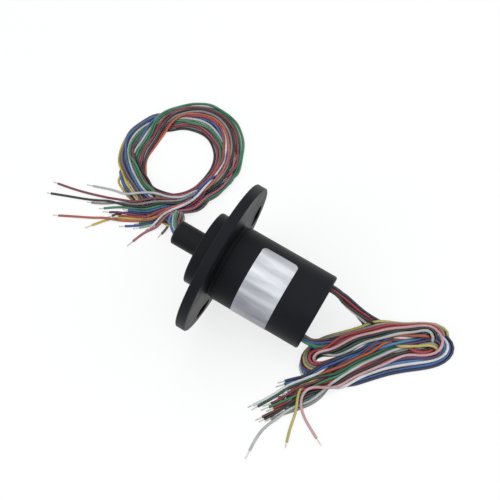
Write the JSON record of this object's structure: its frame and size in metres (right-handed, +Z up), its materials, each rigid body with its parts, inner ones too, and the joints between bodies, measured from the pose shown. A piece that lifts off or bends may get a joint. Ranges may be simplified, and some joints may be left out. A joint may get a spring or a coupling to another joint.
{
  "type": "slip ring",
  "caption": "Capsule slip ring with a round housing, a slotted mounting flange, a turning nose and bundles of thin coloured leads on both ends",
  "frame": {"origin": "the middle of the box of the slip ring itself, on the table that it lies on", "axes": "+Z up; +X the way the nose points, level with the table; the spin axis lies in the XZ plane and rises 21.75 degrees towards +X"},
  "size_m": [0.146, 0.0969, 0.0422],
  "materials": {
    "housing_plastic": "black glass-filled nylon, moulded, satin",
    "rotor_plastic": "black moulded plastic, satin",
    "label_foil": "thin silver foil, smooth",
    "board_laminate": "green glass-epoxy laminate",
    "comb_plastic": "natural moulded plastic",
    "contact_gold": "gold-plated brass, polished",
    "bearing_steel": "ground bearing steel",
    "spacer_plastic": "white moulded plastic",
    "clip_steel": "spring steel",
    "potting_resin": "black epoxy resin",
    "lead_insulation": "smooth fluoropolymer insulation in many colours"
  },
  "bodies": {
    "stator": {"housing_shell": "housing_plastic", "rear_cap": "housing_plastic", "flange_hub": "housing_plastic", "foil_label": "label_foil", "dust_cover": "housing_plastic", "brush_board_a": "board_laminate", "brush_board_b": "board_laminate", "brush_comb_a": "comb_plastic", "brush_comb_b": "comb_plastic", "brush_wires_a": "contact_gold", "brush_wires_b": "contact_gold", "front_bearing_outer": "bearing_steel", "rear_bearing_outer": "bearing_steel", "rear_potting_a": "potting_resin", "rear_potting_b": "potting_resin", "rear_lead_tube_a": "lead_insulation", "rear_lead_tube_b": "lead_insulation", "rear_lead_hank": "lead_insulation", "rear_lead_tails": "lead_insulation"},
    "rotor": {"rotor_core": "rotor_plastic", "ring_spacers": "spacer_plastic", "bearing_clip": "clip_steel", "front_bearing_inner": "bearing_steel", "rear_bearing_inner": "bearing_steel", "nose_potting": "potting_resin", "front_lead_tube": "lead_insulation", "front_lead_coil": "lead_insulation", "front_lead_tails": "lead_insulation", "contact_ring_01": "contact_gold", "contact_ring_02": "contact_gold", "contact_ring_03": "contact_gold", "contact_ring_04": "contact_gold", "contact_ring_05": "contact_gold", "contact_ring_06": "contact_gold", "contact_ring_07": "contact_gold", "contact_ring_08": "contact_gold", "contact_ring_09": "contact_gold", "contact_ring_10": "contact_gold", "contact_ring_11": "contact_gold", "contact_ring_12": "contact_gold", "contact_ring_13": "contact_gold", "contact_ring_14": "contact_gold", "contact_ring_15": "contact_gold", "contact_ring_16": "contact_gold", "contact_ring_17": "contact_gold", "contact_ring_18": "contact_gold"},
    "front_ball_set": {"front_bearing_balls": "bearing_steel"},
    "rear_ball_set": {"rear_bearing_balls": "bearing_steel"}
  },
  "joints": [
    {"name": "rotor_spin", "type": "hinge", "parent": "stator", "child": "rotor", "pos_m": [0.01421, 0, 0.02341], "axis": [0.9288, 0, 0.3705], "continuous": true},
    {"name": "front_ball_orbit", "type": "hinge", "parent": "stator", "child": "front_ball_set", "pos_m": [0.01012, 0, 0.02178], "axis": [0.9288, 0, 0.3705], "continuous": true},
    {"name": "rear_ball_orbit", "type": "hinge", "parent": "stator", "child": "rear_ball_set", "pos_m": [-0.01598, 0, 0.01137], "axis": [0.9288, 0, 0.3705], "continuous": true}
  ],
  "couplings": [
    {"joint": "front_ball_orbit", "follows": "rotor_spin", "ratio": 0.4375},
    {"joint": "rear_ball_orbit", "follows": "rotor_spin", "ratio": 0.4143}
  ]
}
